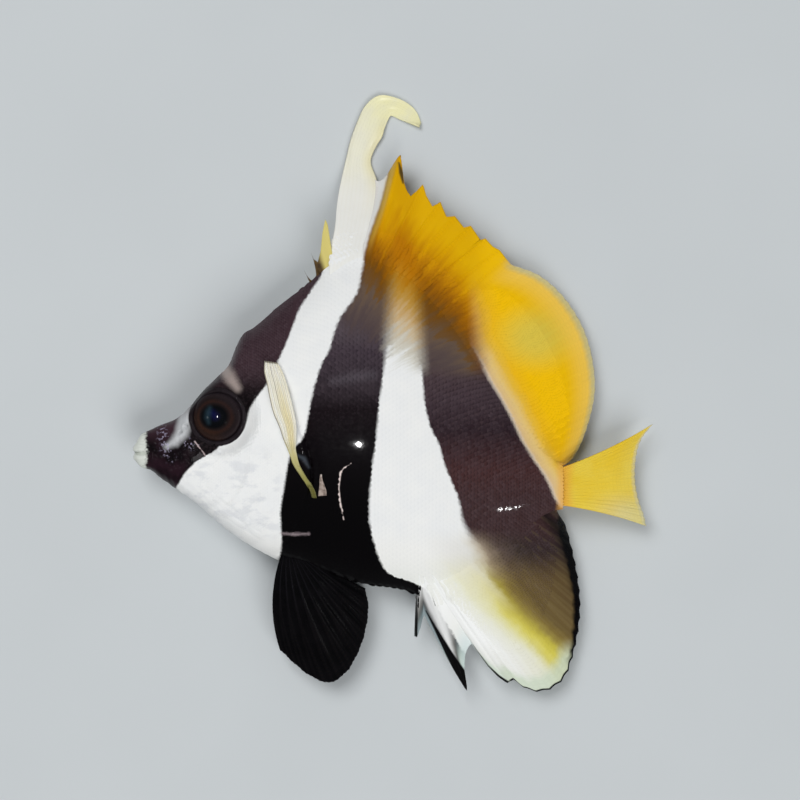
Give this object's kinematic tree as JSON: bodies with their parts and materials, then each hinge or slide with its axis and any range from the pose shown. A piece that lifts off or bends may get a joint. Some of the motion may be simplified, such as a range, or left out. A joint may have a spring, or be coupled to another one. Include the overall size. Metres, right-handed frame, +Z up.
{
  "type": "masked bannerfish model",
  "caption": "Life-size model of a masked bannerfish lying on its right side, banded black and white, with a long white banner spine and yellow fins.",
  "frame": {"origin": "middle of the small flat under the right flank on which the fish lies", "axes": "+Z up out of the left flank, +X from snout to tail, +Y from belly to back"},
  "size_m": [0.0809, 0.094, 0.014],
  "materials": {
    "white_skin": "wet, glossy",
    "dark_skin": "wet, glossy",
    "banded_skin": "wet, glossy",
    "cream_fin": "satin",
    "orange_fin": "satin",
    "yellow_fin": "satin, translucent",
    "black_fin": "satin",
    "clear_fin": "translucent",
    "olive_fin": "satin",
    "eye": "high gloss",
    "lips": "wet, glossy"
  },
  "bodies": {
    "root": {"head": "white_skin", "gill_cover_left": "white_skin", "gill_cover_right": "white_skin", "upper_jaw": "lips", "lower_jaw": "lips", "eye_left": "eye", "eye_right": "eye", "trunk": "banded_skin", "tail_stalk": "dark_skin", "front_spines": "dark_skin", "banner": "cream_fin", "banner_tip": "cream_fin", "dorsal_fin_spiny": "orange_fin", "dorsal_fin_soft": "yellow_fin", "anal_spines": "black_fin", "anal_fin_soft": "olive_fin", "tail_fin": "yellow_fin", "pelvic_fin_left": "black_fin", "pelvic_fin_right": "black_fin", "pectoral_fin_left": "clear_fin", "pectoral_fin_right": "clear_fin"}
  },
  "joints": []
}
